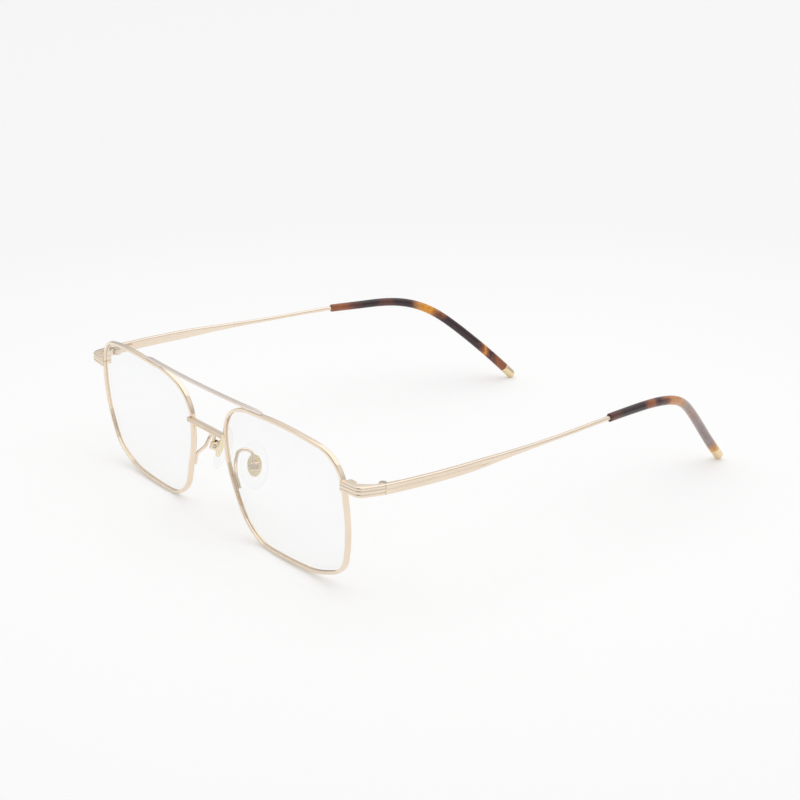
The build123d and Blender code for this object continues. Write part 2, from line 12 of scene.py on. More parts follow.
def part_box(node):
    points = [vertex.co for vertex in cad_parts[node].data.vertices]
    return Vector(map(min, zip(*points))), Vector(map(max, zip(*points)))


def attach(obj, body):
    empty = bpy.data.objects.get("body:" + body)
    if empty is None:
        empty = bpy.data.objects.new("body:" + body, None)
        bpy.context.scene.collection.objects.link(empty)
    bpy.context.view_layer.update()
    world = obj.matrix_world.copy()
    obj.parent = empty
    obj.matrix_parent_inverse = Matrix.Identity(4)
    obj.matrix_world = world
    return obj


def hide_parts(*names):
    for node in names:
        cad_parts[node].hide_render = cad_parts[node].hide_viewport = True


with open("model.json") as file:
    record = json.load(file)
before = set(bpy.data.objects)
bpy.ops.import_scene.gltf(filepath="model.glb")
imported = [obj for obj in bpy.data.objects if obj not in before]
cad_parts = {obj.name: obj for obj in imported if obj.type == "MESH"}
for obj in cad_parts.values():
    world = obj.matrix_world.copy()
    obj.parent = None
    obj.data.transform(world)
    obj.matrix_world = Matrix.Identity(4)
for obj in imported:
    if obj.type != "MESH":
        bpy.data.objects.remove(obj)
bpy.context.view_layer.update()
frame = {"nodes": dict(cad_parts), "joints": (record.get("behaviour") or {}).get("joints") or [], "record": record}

MM = 0.001
SIDES = {"left": 1, "right": -1}
WHOLE = (0, 1)

# Eyewires and lenses. Lengths are in millimetres and angles in degrees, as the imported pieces
# have them, and the left side is drawn.
eye_width = 50.6
eye_height = 37.2
nose_gap = 16.4
rim_width = 0.9
rim_depth = 1.3
rim_edge_radius = 0.24
rim_crown = 0.03
groove_depth = 0.3
groove_width = 0.5
lens_gap = 0.03
lens_thickness = 1.7
lens_curve_radius = 126.0
lens_curve_centre_shares = (0.53, 0.53)
wrap_angle = 2.44
front_tilt = 4.96
# Corners of the eyewire's line: shares of its width and height, and how far each bend reaches
# along its shorter side
rim_corner_shares = [
    (0.154, -0.006, 0.447),
    (0.724, 0.015, 0.338),
    (0.937, 0.111, 0.373),
    (1.008, 0.428, 0.539),
    (0.982, 0.919, 0.417),
    (0.611, 1.013, 0.526),
    (0.210, 0.977, 0.334),
    (-0.004, 0.848, 0.596),
    (0.004, 0.498, 0.395),
]
outline_spacing = 0.5
least_bend_steps = 3
rim_corner_steps = 5
lens_ring_count = 18
lens_middle_share = 0.008

# Endpiece joint, measured from the hinge axis
arm_thickness = 1.35
hinge_side_gap = 0.08
barrel_radius = 1.1
hinge_setback = 1.0
joint_gap = 0.06
lock_slit = 0.1

# Temples
temple_reach = 132.7
temple_inset = 20.0
temple_drop = 27.0
blade_height = 2.65
blade_thickness = 1.3
wire_diameter = 1.16
blade_groove_depth = 0.16
blade_groove_width = 0.5
# Places on the temple's line: along its reach, in from the hinge and down from it
temple_path_shares = [
    (0.000, 0.000, 0.000),
    (0.080, -0.047, -0.004),
    (0.163, -0.057, -0.008),
    (0.262, -0.020, -0.016),
    (0.442, 0.095, -0.026),
    (0.554, 0.184, -0.036),
    (0.628, 0.262, -0.030),
    (0.707, 0.335, -0.013),
    (0.763, 0.416, 0.042),
    (0.811, 0.532, 0.149),
    (0.858, 0.666, 0.325),
    (0.908, 0.806, 0.551),
    (0.955, 0.925, 0.777),
    (1.000, 1.000, 1.000),
]
# Share of the blade's height along the reach, down to the bare wire
blade_taper_shares = [
    (0.00, 1.000),
    (0.08, 1.000),
    (0.16, 0.990),
    (0.20, 0.935),
    (0.23, 0.835),
    (0.26, 0.710),
    (0.30, 0.580),
    (0.34, 0.495),
    (0.40, 0.438),
]
groove_fade_shares = [(0.000, 1.0), (0.080, 1.0), (0.160, 0.8), (0.215, 0.35), (0.250, 0.0)]
blade_corner_share = 0.30
wire_corner_share = 0.47
core_end_share = 0.95
temple_ring_count = 220
temple_ring_crowding = 1.15
temple_line_steps = 4000
blade_corner_steps = 6
groove_steps = 5

# Temple tips and end caps
tip_start_share = 0.555
tip_front_height = 2.3
tip_front_width = 2.0
tip_rear_diameter = 2.8
tip_round = 0.42
tip_mouth_depth = 2.0
tip_bore_gap = 0.05
tip_ring_count = 150
tip_round_steps = 6
cap_start_share = 0.982
cap_collar_steps = 6
cap_edge_round = 0.06
cap_length = 1.5
cap_dome_angle = 88.0
cap_ring_count = 10
section_point_count = 32

# Nose pad arms, from the eyewire's back over a crown to the pad's box
pad_lean = 15.0
core_depth = 1.4
pad_rock_gap = 0.3
box_wall = 0.35
box_height = 2.2
arm_wire_diameter = 0.9
arm_foot_rise_shares = (0.315, 0.405)
arm_spread = 2.9
arm_rise = 3.2
arm_crown_rise = 3.1
arm_waist_shares = (0.8, 0.26, 0.0)
arm_back_share = 0.52
arm_foot_radius = 3.0
arm_crown_radius = 1.7
arm_side_shift = 0.4
solder_gap = 0.02
wire_bend_steps = 14
wire_round_steps = 24

# Screws: the sizes of each kind, and the turn of its slot where the head faces up or down
screw_sizes = {
    "rim_lock_screw": {
        "Shank radius": 0.45,
        "Shank length": 1.6475,
        "Head radius": 0.8,
        "Head height": 0.35,
    },
    "hinge_screw": {
        "Shank radius": 0.6,
        "Shank length": 1.52,
        "Head radius": 0.95,
        "Head height": 0.22,
    },
    "pad_screw": {
        "Shank radius": 0.35,
        "Shank length": 2.1,
        "Head radius": 0.6,
        "Head height": 0.3,
    },
}
slot_sizes = {"Slot width": 0.25, "Slot depth": 0.15}
slot_turns = {"rim_lock_screw": 0.9, "hinge_screw": 0.5}
screw_shank_steps = 32
screw_head_steps = 48
head_bevel_share = 0.3
shank_sink_share = 0.499
slot_reach_share = 3

# Welding and shading of the meshes
weld_distance = 2e-7
drawn_edge_angle = 38.0
grown_edge_angle = 35.0
welded_edge_angle = 32.0

# Metal finishes: pale and deep tones, roughness from and to, grain per metre, strength of the
# marks, and how bare the metal is under its lacquer
platings = {
    "gold": {
        "pale": (0.90, 0.775, 0.64), "deep": (0.85, 0.725, 0.585), "rough": (0.22, 0.30),
        "grain": (2500, 300, 2500), "marks": 0.10, "bareness": 1.0,
    },
    "polished_gold": {
        "pale": (0.90, 0.775, 0.63), "deep": (0.86, 0.72, 0.57), "rough": (0.05, 0.09),
        "grain": (900, 900, 900), "marks": 0.02, "bareness": 1.0,
    },
    "brow_gold": {
        "pale": (0.85, 0.76, 0.69), "deep": (0.77, 0.68, 0.61), "rough": (0.16, 0.24),
        "grain": (200, 4000, 4000), "marks": 0.12, "bareness": 1.0,
    },
    "button_gold": {
        "pale": (1.0, 0.90, 0.70), "deep": (0.96, 0.82, 0.52), "rough": (0.16, 0.26),
        "grain": (3000, 3000, 3000), "marks": 0.12, "bareness": 0.55,
    },
    "screw_steel": {
        "pale": (0.76, 0.69, 0.58), "deep": (0.64, 0.57, 0.47), "rough": (0.16, 0.24),
        "grain": (3000, 3000, 3000), "marks": 0.10, "bareness": 1.0,
    },
    "cap_gold": {
        "pale": (0.92, 0.73, 0.44), "deep": (0.82, 0.68, 0.47), "rough": (0.08, 0.14),
        "grain": (2000, 2000, 2000), "marks": 0.06, "bareness": 1.0,
    },
}
tone_scale = (90, 60, 90)
tone_detail = 3.0
tone_range = (0.35, 0.65)
grain_detail = 2.0
grain_range = (0.3, 0.7)
mark_depth = 0.00001

# Clear lenses: two close tones, and a sheen that covers more at a slant
lens_roughness = 0.02
lens_refraction = 1.5
lens_tones = ((0.86, 0.92, 0.90), (0.93, 0.94, 0.97))
lens_tone_scale = (60, 60, 60)
sheen_refraction = 1.35
sheen_cover = (0, 0.12)

# Clear silicone: two close tones, and a cover that grows towards its edges
silicone_roughness = 0.25
silicone_refraction = 1.41
silicone_tones = ((0.70, 0.71, 0.69), (0.80, 0.80, 0.78))
silicone_tone_scale = (500, 500, 500)
silicone_edge_blend = 0.25
silicone_cover = (0.01, 0.18)

# Tortoiseshell: its tones, and where each lies along a tip's run from the mouth to the cap. The two
# grey-brown tones are partly the shell's own tone and partly a painted sheen, light on the left tip's upper face
shell_tones = {
    "dark": (0.030, 0.009, 0.011),
    "brown": (0.11, 0.03, 0.02),
    "chestnut": (0.33, 0.095, 0.03),
    "amber": (0.58, 0.24, 0.07),
    "honey": (0.80, 0.32, 0.02),
    "smoke": (0.29, 0.21, 0.20),
    "straw": (0.90, 0.52, 0.16),
    "fawn": (0.36, 0.20, 0.14),
}
shell_bands = {
    # From 0.55 to 0.915 the left tip's grey-brown tones are partly painted sheen, light on its upper face
    "left": [
        (0.00, "brown"), (0.05, "brown"), (0.085, "dark"), (0.225, "dark"), (0.26, "chestnut"),
        (0.285, "chestnut"), (0.31, "brown"), (0.35, "dark"), (0.375, "brown"), (0.387, "chestnut"),
        (0.402, "amber"), (0.51, "amber"), (0.55, "fawn"), (0.59, "smoke"), (0.67, "fawn"),
        (0.71, "smoke"), (0.88, "smoke"), (0.915, "fawn"), (0.94, "amber"), (0.96, "straw"),
    ],
    "right": [
        (0.00, "chestnut"), (0.085, "chestnut"), (0.125, "brown"), (0.17, "dark"), (0.25, "dark"),
        (0.29, "brown"), (0.33, "brown"), (0.37, "dark"), (0.45, "dark"), (0.475, "brown"),
        (0.495, "amber"), (0.515, "honey"), (0.575, "honey"), (0.60, "chestnut"), (0.63, "dark"),
        (0.81, "dark"), (0.83, "chestnut"), (0.845, "honey"), (0.86, "chestnut"), (0.885, "dark"),
        (0.93, "chestnut"),
    ],
}
shell_seeds = {"left": 3.0, "right": 7.0}
shell_refraction = 1.49
shell_coat = 0.25
shell_coat_roughness = 0.05
shell_rough = (0.06, 0.12)
# Torn edges of the patches, and the flecks that deepen and lighten them
tear_scale = 170.0
tear_detail = 4.0
tear_roughness = 0.6
tear_range = (0.25, 0.75)
tear_reach = (-0.03, 0.03)
fleck_scale = 620.0
fleck_detail = 3.0
fleck_distortion = 1.2
fleck_range = (0.35, 0.75)
fleck_shades = (1.1, 0.7)

# Studio, in metres: the floor and its painted pool of light, a tone near the middle and one far
# out, the room's tones by height, its dimmer side high in front, and the lamp
floor_reach = 8.0
floor_painted_light_tones = (0.86, 0.80)
floor_roughness = 0.9
floor_shine = 0.1
floor_glow = 0.18
painted_light_fall_reach = (0.10, 0.32)
room_tones = [(0.0, 0.68), (0.12, 0.64), (0.30, 0.80), (0.50, 1.0), (1.0, 1.0)]
room_strength = 0.86
dim_side = (0.25, -0.75, 0.61)
dim_side_range = (0.86, 0.96)
dim_side_shares = (1, 0.34)
lamp_size = 4.6
lamp_power = 27.0
lamp_place = (0.0, 0.8, 3.0)

# The photograph's camera, solved against the front's two halves: degrees, then millimetres
photo_turn = 53.155
photo_rise = 18.967
photo_roll = 0.246
photo_slide = (-49.834, -31.933)
photo_distance = 470.102
photo_focal_pixels = 1805.909
photo_pixels = 800.0
sensor_width = 36.0
nearest_shown = 0.02


def piece_from(name, points, faces, runs=None):
    """A closed mesh piece from points in millimetres, that may hold each point's run."""
    mesh = bpy.data.meshes.new(name)
    mesh.from_pydata([tuple(point) for point in np.asarray(points) * MM], [], faces)
    if runs is not None:
        layer = mesh.uv_layers.new(name="run")
        for loop in mesh.loops:
            layer.data[loop.index].uv = runs[loop.vertex_index]
    solid = bmesh.new()
    solid.from_mesh(mesh)
    bmesh.ops.recalc_face_normals(solid, faces=solid.faces)
    return kept_piece(name, solid, mesh, drawn_edge_angle)


def kept_piece(name, solid, mesh, edge_angle):
    """Ends the work on a mesh: smooth shading up to an edge angle, and its own object."""
    solid.to_mesh(mesh)
    solid.free()
    if "custom_normal" in mesh.attributes:
        mesh.attributes.remove(mesh.attributes["custom_normal"])
    mesh.shade_smooth()
    mesh.set_sharp_from_angle(angle=math.radians(edge_angle))
    piece = bpy.data.objects.new(name, mesh)
    bpy.context.scene.collection.objects.link(piece)
    return piece


def skin(rings):
    """Quads between rings of points, with flat ends."""
    count, width = len(rings), len(rings[0])
    faces = [tuple(range(width)), tuple(range((count - 1) * width, count * width))]
    for ring in range(count - 1):
        here, after = ring * width, (ring + 1) * width
        for point in range(width):
            beside = (point + 1) % width
            faces.append((here + point, here + beside, after + beside, after + point))
    return np.concatenate(rings), faces


def mirrored(points, sign):
    """Left points as they are, right points on the other side of the nose."""
    return np.asarray(points) * np.array((sign, 1, 1))


def dress(piece, body, material, nodes):
    """Gives a piece its finish and body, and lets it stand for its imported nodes."""
    piece.data.materials.clear()
    piece.data.materials.append(material)
    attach(piece, body)
    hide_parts(*nodes)


def burnished(node):
    """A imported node's own form as one welded mesh, so that polished metal shades smoothly."""
    solid = bmesh.new()
    solid.from_mesh(frame["nodes"][node].data)
    bmesh.ops.remove_doubles(solid, verts=solid.verts, dist=weld_distance)
    name = node + "_finished"
    return kept_piece(name, solid, bpy.data.meshes.new(name), welded_edge_angle)


def bend_at(corners, index):
    """Centre, radius and swept directions of the bend at a corner of the eyewire's line."""
    here, reach_share = corners[index]
    before = corners[index - 1][0] - here
    after = corners[(index + 1) % len(corners)][0] - here
    reach = reach_share * min(np.linalg.norm(before), np.linalg.norm(after))
    before = before / np.linalg.norm(before)
    after = after / np.linalg.norm(after)
    half = math.acos(before @ after) / 2
    radius = reach * math.tan(half)
    bisector = (before + after) / np.linalg.norm(before + after)
    centre = here + bisector * radius / math.sin(half)
    start = here + before * reach - centre
    turn = math.pi - 2 * half
    steps = max(least_bend_steps, round(turn * radius / outline_spacing))
    angles = math.atan2(start[1], start[0]) + turn * np.arange(steps + 1) / steps
    outward = np.stack([np.cos(angles), np.sin(angles)], 1)
    return centre + outward * radius, outward


def rounded_outline():
    """Places and outward directions along the eyewire's line, anticlockwise from the nose."""
    corners = []
    for across_share, up_share, reach_share in rim_corner_shares:
        place = (nose_gap / 2 + across_share * eye_width, rim_width / 2 + up_share * eye_height)
        corners.append((np.array(place), reach_share))
    bends = [bend_at(corners, index) for index in range(len(corners))]
    places, outwards = [], []
    for index, (arc, outward) in enumerate(bends):
        places.extend(arc)
        outwards.extend(outward)
        ahead = bends[(index + 1) % len(bends)][0][0]
        parts = int(np.linalg.norm(ahead - arc[-1]) / outline_spacing)
        for step in range(1, parts):
            places.append(arc[-1] + step / parts * (ahead - arc[-1]))
            outwards.append(outward[-1])
    return np.array(places), np.array(outwards)


def front_turn():
    """The lens plane's tilt and wrap."""
    tilt = Matrix.Rotation(math.radians(front_tilt), 3, "X")
    return np.array(tilt @ Matrix.Rotation(math.radians(wrap_angle), 3, "Z"))


def on_lens_curve(flat, depth):
    """Points of the lens plane set on the lens curve at a depth behind it, tilted and wrapped."""
    across = flat[:, 0] - (nose_gap / 2 + lens_curve_centre_shares[0] * eye_width)
    up = flat[:, 1] - (rim_width / 2 + lens_curve_centre_shares[1] * eye_height)
    sag = lens_curve_radius - np.sqrt((lens_curve_radius - depth) ** 2 - across**2 - up**2)
    return np.stack([flat[:, 0], sag, flat[:, 1]], 1) @ front_turn().T


def rim_profile():
    """The eyewire's section as (outwards, back) points: crowned, rounded, with the lens groove."""
    half_width, half_depth, radius = rim_width / 2, rim_depth / 2, rim_edge_radius
    points = []
    for side, back, start in [(1, -1, -90), (1, 1, 0), (-1, 1, 90), (-1, -1, 180)]:
        centre = (side * (half_width - radius), back * (half_depth - radius))
        for step in range(rim_corner_steps + 1):
            angle = math.radians(start + 90 * step / rim_corner_steps)
            across = centre[0] + radius * math.cos(angle)
            points.append((across, centre[1] + radius * math.sin(angle)))
        if (side, back) == (1, -1):
            points.append((half_width + rim_crown, 0))
        if (side, back) == (-1, 1):
            floor = groove_depth - half_width
            points += [(-half_width, groove_width / 2), (floor, groove_width / 2)]
            points += [(floor, -groove_width / 2), (-half_width, -groove_width / 2)]
    return points


def make_rim(place, outline):
    """One eyewire drawn along its outline, open at the lock's slit behind the endpiece."""
    flat, outward = outline
    middle = on_lens_curve(flat, 0) + place
    height = hinge_place[2]
    outer = middle[:, 0] > middle[:, 0].mean()
    cut = int(np.argmin(np.where(outer, abs(middle[:, 2] - height), math.inf)))
    lines = [on_lens_curve(flat + outward * across, back) + place for across, back in rim_profile()]
    rings = np.roll(np.stack(lines, 1), -cut, axis=0)
    climb = (rings[1] - rings[0]) / (rings[1] - rings[0])[:, 2:3]
    start = rings[0] + climb * (height + lock_slit / 2 - rings[0][:, 2:3])
    end = rings[0] + climb * (height - lock_slit / 2 - rings[0][:, 2:3])
    return skin([start, *rings[1:], end])


def make_lens(place, outline):
    """Clear lens with its tongue in the eyewire's groove."""
    flat, outward = outline
    half = lens_thickness / 2
    tongue_half = groove_width / 2 - lens_gap
    edge = flat - outward * (rim_width / 2 + lens_gap)
    tongue = flat + outward * (groove_depth - rim_width / 2 - lens_gap)
    centre = edge.mean(0)
    shares = np.linspace(lens_middle_share, 1, lens_ring_count)
    rings = [on_lens_curve(centre + (edge - centre) * share, -half) for share in shares]
    for depth, lines in ((-tongue_half, (edge, tongue)), (tongue_half, (tongue, edge))):
        rings += [on_lens_curve(line, depth) for line in lines]
    rings += [on_lens_curve(centre + (edge - centre) * share, half) for share in shares[::-1]]
    return skin([ring + place for ring in rings])


def front_place(outline):
    """Shift from the lens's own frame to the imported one, from the left eyewire's box."""
    flat, outward = outline
    lines = [on_lens_curve(flat + outward * a, b) for a, b in rim_profile() if a > 0]
    points = np.concatenate(lines)
    low, high = (np.array(corner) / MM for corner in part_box("rim_left"))
    return (low + high) / 2 - (points.min(0) + points.max(0)) / 2


def smooth_slopes(points):
    """Distances along the points, and slopes there of the smooth curve that runs through them."""
    spans = np.linalg.norm(np.diff(points, axis=0), axis=1)
    knots = np.concatenate([[0], np.cumsum(spans)])
    count = len(points)
    system = np.zeros((count, count))
    wanted = np.zeros((count, 3))
    for end, near, far in ((0, 1, 2), (count - 1, count - 2, count - 3)):
        first = (points[near] - points[end]) / (knots[near] - knots[end])
        second = (points[far] - points[near]) / (knots[far] - knots[near])
        bend = (second - first) / (knots[far] - knots[end])
        system[end, end] = 1
        wanted[end] = first - bend * (knots[near] - knots[end])
    for index in range(1, count - 1):
        before, after = spans[index - 1], spans[index]
        system[index, index - 1 : index + 2] = (1 / before, 2 / before + 2 / after, 1 / after)
        rise = (points[index] - points[index - 1]) / before**2
        wanted[index] = 3 * (rise + (points[index + 1] - points[index]) / after**2)
    return knots, np.linalg.solve(system, wanted)


def temple_line():
    """Finely spaced points and headings along the left temple."""
    out = barrel_radius + hinge_side_gap + arm_thickness / 2
    joint = np.array(hinge_place) + (out, -hinge_setback, 0)
    span_of_path = np.array((-temple_inset, temple_reach, -temple_drop))
    points = joint + np.array(temple_path_shares)[:, [1, 0, 2]] * span_of_path
    knots, slopes = smooth_slopes(points)
    at = np.linspace(0, knots[-1], temple_line_steps)
    span = np.clip(np.searchsorted(knots, at, side="right") - 1, 0, len(knots) - 2)
    width = (knots[span + 1] - knots[span])[:, None]
    share = (at - knots[span])[:, None] / width
    start, end = points[span], points[span + 1]
    before, after = slopes[span] * width, slopes[span + 1] * width
    line = start + share * before
    line += share**2 * (3 * (end - start) - 2 * before - after)
    line += share**3 * (2 * (start - end) + before + after)
    headings = np.gradient(line, axis=0)
    return line, headings / np.linalg.norm(headings, axis=1)[:, None]


def station(line, share):
    """Middle, outward, upward and forward directions of the temple at a share of its reach."""
    points, headings = line
    target = points[0, 1] + share * temple_reach
    middle = np.array([np.interp(target, points[:, 1], points[:, axis]) for axis in range(3)])
    heading = np.array([np.interp(target, points[:, 1], headings[:, axis]) for axis in range(3)])
    heading /= np.linalg.norm(heading)
    outward = np.array((heading[1], -heading[0], 0)) / math.hypot(heading[0], heading[1])
    return middle, outward, np.cross(outward, heading), heading


def blade_section(thickness, height, corner, groove):
    """Rounded section with a groove on its outer face, as (outwards, up) points."""
    points = []
    half_wide, half_high = thickness / 2 - corner, height / 2 - corner
    for side, up, start in ((1, 1, 0), (-1, 1, 90), (-1, -1, 180), (1, -1, 270)):
        for step in range(blade_corner_steps + 1):
            angle = math.radians(start + 90 * step / blade_corner_steps)
            across = side * half_wide + corner * math.cos(angle)
            points.append((across, up * half_high + corner * math.sin(angle)))
    half_groove = min(blade_groove_width / 2, half_high)
    for step in range(-groove_steps, groove_steps + 1):
        rise = step / groove_steps
        points.append((thickness / 2 - groove * math.sqrt(1 - rise**2), rise * half_groove))
    return points


def along(table, share):
    """A value read between the stated places of a table."""
    return np.interp(share, *zip(*table))


def make_temple(line):
    """Blade that thins to a round wire and runs on as the core of the tip."""
    rings = []
    front = station(line, 0)[0][1] + joint_gap / 2
    for ring in range(temple_ring_count + 1):
        share = core_end_share * (ring / temple_ring_count) ** temple_ring_crowding
        middle, outward, up, heading = station(line, share)
        blend = min(share / blade_taper_shares[-1][0], 1)
        thickness = blade_thickness + (wire_diameter - blade_thickness) * blend
        height = blade_height * along(blade_taper_shares, share) if blend < 1 else wire_diameter
        corner_share = blade_corner_share + (wire_corner_share - blade_corner_share) * blend
        groove = blade_groove_depth * along(groove_fade_shares, share)
        section = blade_section(thickness, height, min(thickness, height) * corner_share, groove)
        points = np.array([middle + outward * a + up * b for a, b in section])
        if ring == 0:
            points += heading * ((front - points[:, 1:2]) / heading[1])
        rings.append(points)
    return skin(rings)


def oval(frame_at, width, height):
    """Points of an oval across the temple's line."""
    middle, outward, up = frame_at[:3]
    angles = np.linspace(0, 2 * math.pi, section_point_count, endpoint=False)
    wide = np.outer(np.cos(angles) * width / 2, outward)
    return middle + wide + np.outer(np.sin(angles) * height / 2, up)


def tip_oval(line, share, shrink=0):
    """The tip's outline at a share of the temple's reach, drawn in by a distance."""
    blend = (share - tip_start_share) / (1 - tip_start_share)
    width = tip_front_width + (tip_rear_diameter - tip_front_width) * blend
    height = tip_front_height + (tip_rear_diameter - tip_front_height) * blend
    return oval(station(line, share), width - 2 * shrink, height - 2 * shrink)


def make_tip(line):
    """Acetate tip, with its run at each point: a round mouth, then a slow swell to its cap."""
    rings, runs = [], []
    bore = wire_diameter + 2 * tip_bore_gap
    middle, outward, up, heading = station(line, tip_start_share)
    for depth in (tip_mouth_depth, 0):
        rings.append(oval((middle + heading * depth, outward, up, heading), bore, bore))
        runs.append(0)
    for step in range(tip_round_steps + 1):
        angle = math.radians(90 * step / tip_round_steps)
        share = tip_start_share + tip_round * (1 - math.cos(angle)) / temple_reach
        rings.append(tip_oval(line, share, tip_round * (1 - math.sin(angle))))
        runs.append(0)
    first = tip_start_share + tip_round / temple_reach
    for share in np.linspace(first, cap_start_share, tip_ring_count + 1)[1:]:
        rings.append(tip_oval(line, share))
        runs.append((share - first) / (1 - first))
    points = range(section_point_count)
    return *skin(rings), [(run, point / section_point_count) for run in runs for point in points]


def make_cap(line):
    """Metal cap that carries the tip's form on to a domed end."""
    collar_start = cap_start_share + cap_edge_round / temple_reach
    rings = [tip_oval(line, cap_start_share, cap_edge_round)]
    rings += [tip_oval(line, share) for share in np.linspace(collar_start, 1, cap_collar_steps)]
    middle, outward, up, heading = station(line, 1)
    for step in range(1, cap_ring_count + 1):
        angle = math.radians(cap_dome_angle * step / cap_ring_count)
        at = (middle + heading * cap_length * math.sin(angle), outward, up, heading)
        across = tip_rear_diameter * math.cos(angle)
        rings.append(oval(at, across, across))
    return skin(rings)


def add(tree, kind, values=None, **settings):
    """A new node with its settings, and its inputs set or linked."""
    made = tree.nodes.new(kind)
    for name, value in settings.items():
        setattr(made, name, value)
    for name, value in (values or {}).items():
        if isinstance(value, bpy.types.NodeSocket):
            tree.links.new(value, made.inputs[name])
        else:
            made.inputs[name].default_value = value
    return made


def output_of(tree, kind, values=None, **settings):
    """The first output of a new node."""
    return add(tree, kind, values, **settings).outputs[0]


def new_form_tree(name, inputs):
    """A Geometry Nodes tree with named inputs, and its input and output nodes."""
    tree = bpy.data.node_groups.new(name, "GeometryNodeTree")
    tree.interface.new_socket("Geometry", in_out="INPUT", socket_type="NodeSocketGeometry")
    for label, kind in inputs.items():
        tree.interface.new_socket(label, in_out="INPUT", socket_type=kind)
    tree.interface.new_socket("Geometry", in_out="OUTPUT", socket_type="NodeSocketGeometry")
    return tree, tree.nodes.new("NodeGroupInput"), tree.nodes.new("NodeGroupOutput")


def finish_form(tree, source, given, result):
    """Ends a tree in plain geometry with its finish."""
    real = output_of(tree, "GeometryNodeRealizeInstances", {"Geometry": source})
    coat = {"Geometry": real, "Material": given.outputs["Finish"]}
    tree.links.new(output_of(tree, "GeometryNodeSetMaterial", coat), result.inputs[0])
    return tree


def sum_of(tree, operation, first, second):
    """The result of one sum on two values or sockets of a tree."""
    return output_of(tree, "ShaderNodeMath", {0: first, 1: second}, operation=operation)


def raised(tree, mesh, height):
    """A mesh of a tree moved up by a height."""
    lift = output_of(tree, "ShaderNodeCombineXYZ", {"Z": height})
    return output_of(tree, "GeometryNodeTransform", {"Geometry": mesh, "Translation": lift})


def stored(tree, name, kind):
    """A value that the carrier's points hold by name."""
    return output_of(tree, "GeometryNodeInputNamedAttribute", {"Name": name}, data_type=kind)


def screw_tree():
    """Slotted screws on the carrier's points, cut in millimetres: shank, bevelled head and slot."""
    sizes = [*screw_sizes["hinge_screw"], *slot_sizes]
    inputs = {label: "NodeSocketFloat" for label in sizes}
    inputs["Finish"] = "NodeSocketMaterial"
    tree, given, result = new_form_tree("slotted screws", inputs)
    shank_radius, length, radius, height, width, depth = (given.outputs[label] for label in sizes)
    bevel = sum_of(tree, "MULTIPLY", height, head_bevel_share)
    straight = sum_of(tree, "SUBTRACT", height, bevel)
    shank = {"Vertices": screw_shank_steps, "Radius": shank_radius, "Depth": length}
    head = {"Vertices": screw_head_steps, "Radius": radius, "Depth": straight}
    top = {"Vertices": screw_head_steps, "Radius Bottom": radius, "Depth": bevel}
    top["Radius Top"] = sum_of(tree, "SUBTRACT", radius, bevel)
    parts = [
        ("GeometryNodeMeshCylinder", shank, sum_of(tree, "MULTIPLY", length, -shank_sink_share)),
        ("GeometryNodeMeshCylinder", head, sum_of(tree, "MULTIPLY", straight, 0.5)),
        ("GeometryNodeMeshCone", top, straight),
    ]
    solid = add(tree, "GeometryNodeMeshBoolean", operation="UNION", solver="EXACT")
    for kind, values, lift in parts:
        part = add(tree, kind, values).outputs["Mesh"]
        tree.links.new(raised(tree, part, lift), solid.inputs["Mesh 2"])
    across = sum_of(tree, "MULTIPLY", radius, slot_reach_share)
    slot_size = {"X": across, "Y": width, "Z": sum_of(tree, "MULTIPLY", depth, 2)}
    slot = output_of(tree, "ShaderNodeCombineXYZ", slot_size)
    slot = add(tree, "GeometryNodeMeshCube", {"Size": slot}).outputs["Mesh"]
    cut = {"Mesh 1": solid.outputs[0]}
    cut = add(tree, "GeometryNodeMeshBoolean", cut, operation="DIFFERENCE", solver="EXACT")
    tree.links.new(raised(tree, slot, height), cut.inputs["Mesh 2"])
    turn = stored(tree, "turn", "FLOAT_VECTOR")
    seats = {
        "Points": given.outputs["Geometry"],
        "Instance": cut.outputs[0],
        "Rotation": output_of(tree, "FunctionNodeEulerToRotation", {0: turn}),
        "Scale": (MM, MM, MM),
    }
    screws = output_of(tree, "GeometryNodeInstanceOnPoints", seats)
    return finish_form(tree, screws, given, result)


def wire_tree():
    """Round wire along the carrier's path, with its own bend radius at each point."""
    inputs = {"Diameter": "NodeSocketFloat", "Finish": "NodeSocketMaterial"}
    tree, given, result = new_form_tree("bent wire", inputs)
    path = output_of(tree, "GeometryNodeMeshToCurve", {"Mesh": given.outputs["Geometry"]})
    bends = {"Curve": path, "Count": wire_bend_steps, "Radius": stored(tree, "bend", "FLOAT")}
    rounded = output_of(tree, "GeometryNodeFilletCurve", bends, mode="POLY")
    radius = sum_of(tree, "MULTIPLY", given.outputs["Diameter"], 0.5)
    circle = {"Resolution": wire_round_steps, "Radius": radius}
    circle = output_of(tree, "GeometryNodeCurvePrimitiveCircle", circle)
    wire = {"Curve": rounded, "Profile Curve": circle, "Fill Caps": True}
    wire = output_of(tree, "GeometryNodeCurveToMesh", wire)
    return finish_form(tree, wire, given, result)


def grown(name, carrier, tree, sizes):
    """Runs a tree on a carrier mesh, and keeps the result as a plain mesh."""
    piece = bpy.data.objects.new(name, carrier)
    bpy.context.scene.collection.objects.link(piece)
    form = piece.modifiers.new("form", "NODES")
    form.node_group = tree
    for item in tree.interface.items_tree:
        if item.in_out == "INPUT" and item.name in sizes:
            form[item.identifier] = sizes[item.name]
    depsgraph = bpy.context.evaluated_depsgraph_get()
    mesh = bpy.data.meshes.new_from_object(piece.evaluated_get(depsgraph))
    piece.modifiers.remove(form)
    piece.data = mesh
    mesh.shade_smooth()
    mesh.set_sharp_from_angle(angle=math.radians(grown_edge_angle))
    return piece


def joint_place(name):
    """A packed joint's place in millimetres, and its axis."""
    joint = next(joint for joint in frame["joints"] if joint["name"] == name)
    return np.array(joint["pos_m"]) / MM, np.array(joint["axis"])


def nose_side_across(rise):
    """Where the eyewire's nose side lies at a given height."""
    high, low = rim_corner_shares[-1], rim_corner_shares[0]
    share = (rise - rim_width / 2) / eye_height
    blend = (high[1] - share) / (high[1] - low[1])
    return nose_gap / 2 + (high[0] + blend * (low[0] - high[0])) * eye_width


